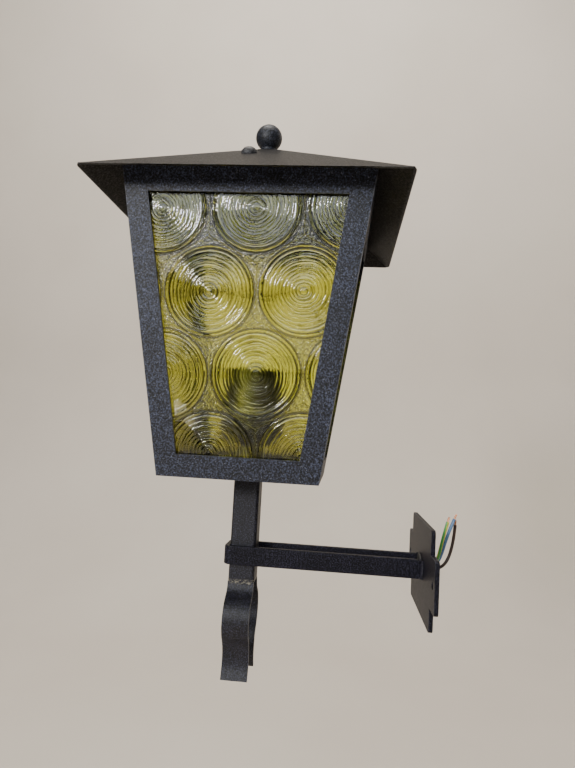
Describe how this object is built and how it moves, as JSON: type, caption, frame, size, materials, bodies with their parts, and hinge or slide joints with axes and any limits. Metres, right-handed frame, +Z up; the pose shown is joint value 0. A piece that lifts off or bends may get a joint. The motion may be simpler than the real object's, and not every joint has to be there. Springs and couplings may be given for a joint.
{
  "type": "outdoor wall lantern",
  "caption": "Wall lantern with a tapered steel body, pressed amber bullseye glass, a pyramid roof with ball finial, and a flat-bar arm on a cross-shaped wall plate.",
  "frame": {"origin": "middle of the wall fixing holes on the wall plate's back face", "axes": "+Y into the wall, +Z up, +X along the wall; the lantern stands out towards -Y"},
  "size_m": [0.22, 0.2722, 0.438],
  "materials": {
    "frame_paint": "satin, speckled hammer finish",
    "roof_paint": "satin, weathered",
    "finial_satin": "satin",
    "screw_steel": "satin, painted over",
    "amber_glass": "pressed, amber to yellow green",
    "zinc_steel": "zinc plated",
    "black_moulding": "moulded, slightly glossy",
    "white_ceramic": "glazed ceramic",
    "lamp_brass": "bright brass",
    "black_rubber": "matt",
    "green_yellow_core": "striped insulation",
    "blue_core": "insulation",
    "brown_core": "insulation",
    "bare_copper": "bare copper"
  },
  "bodies": {
    "lantern": {"wall_plate": "frame_paint", "arm_strap": "frame_paint", "arm_welds": "frame_paint", "stem_tube": "frame_paint", "floor_plate": "frame_paint", "roof_bridge": "frame_paint", "bridge_rivets": "frame_paint", "side_frame_front": "frame_paint", "side_frame_right": "frame_paint", "side_frame_wall": "frame_paint", "side_frame_left": "frame_paint", "glass_pane_front": "amber_glass", "glass_pane_right": "amber_glass", "glass_pane_wall": "amber_glass", "glass_pane_left": "amber_glass", "glass_clips": "zinc_steel", "earth_screw": "zinc_steel", "holder_nipple": "zinc_steel", "nipple_lower_nut": "zinc_steel", "nipple_upper_nut": "zinc_steel", "holder_riser": "zinc_steel", "holder_cap": "black_moulding", "holder_shell": "black_moulding", "holder_core": "white_ceramic", "holder_thread": "lamp_brass", "holder_contact": "lamp_brass", "terminal_screws": "lamp_brass", "earth_tag": "lamp_brass", "cable_grommet": "black_rubber", "supply_cable": "black_rubber", "core_earth": "green_yellow_core", "core_blue": "blue_core", "core_brown": "brown_core", "core_ends": "bare_copper"},
    "roof": {"roof_slope_front": "roof_paint", "roof_slope_right": "roof_paint", "roof_slope_wall": "roof_paint", "roof_slope_left": "roof_paint", "finial_stud": "zinc_steel", "finial_washer": "zinc_steel", "finial_nut": "zinc_steel"},
    "finial_collar": {"finial_collar": "finial_satin"},
    "finial": {"finial_ball": "finial_satin"},
    "right_washer": {"screw_washer_right": "screw_steel"},
    "right_screw": {"roof_screw_right": "screw_steel"},
    "left_washer": {"screw_washer_left": "screw_steel"},
    "left_screw": {"roof_screw_left": "screw_steel"}
  },
  "joints": [
    {"name": "roof_lift", "type": "slide", "parent": "lantern", "child": "roof", "axis": [0, 0, 1], "range_m": [0, 0.12]},
    {"name": "right_washer_out", "type": "slide", "parent": "roof", "child": "right_washer", "axis": [0.5145, 0, 0.8575], "range_m": [0, 0.007]},
    {"name": "right_screw_turn", "type": "hinge", "parent": "right_washer", "child": "right_screw", "pos_m": [0.037, -0.147, 0.30561], "axis": [0.5145, 0, 0.8575], "range_deg": [0, 3600]},
    {"name": "left_washer_out", "type": "slide", "parent": "roof", "child": "left_washer", "axis": [-0.5145, 0, 0.8575], "range_m": [0, 0.007]},
    {"name": "left_screw_turn", "type": "hinge", "parent": "left_washer", "child": "left_screw", "pos_m": [-0.037, -0.147, 0.30561], "axis": [-0.5145, 0, 0.8575], "range_deg": [0, 3600]},
    {"name": "finial_rise", "type": "slide", "parent": "roof", "child": "finial_collar", "axis": [0, 0, 1], "range_m": [0, 0.0088]},
    {"name": "finial_turn", "type": "hinge", "parent": "finial_collar", "child": "finial", "pos_m": [0, -0.138, 0.33631], "axis": [0, 0, 1], "range_deg": [0, 3960]}
  ],
  "couplings": [
    {"joint": "right_screw_turn", "follows": "right_washer_out", "rad_per_m": 8975.1},
    {"joint": "left_screw_turn", "follows": "left_washer_out", "rad_per_m": 8975.1},
    {"joint": "finial_turn", "follows": "finial_rise", "rad_per_m": 7853.2}
  ]
}
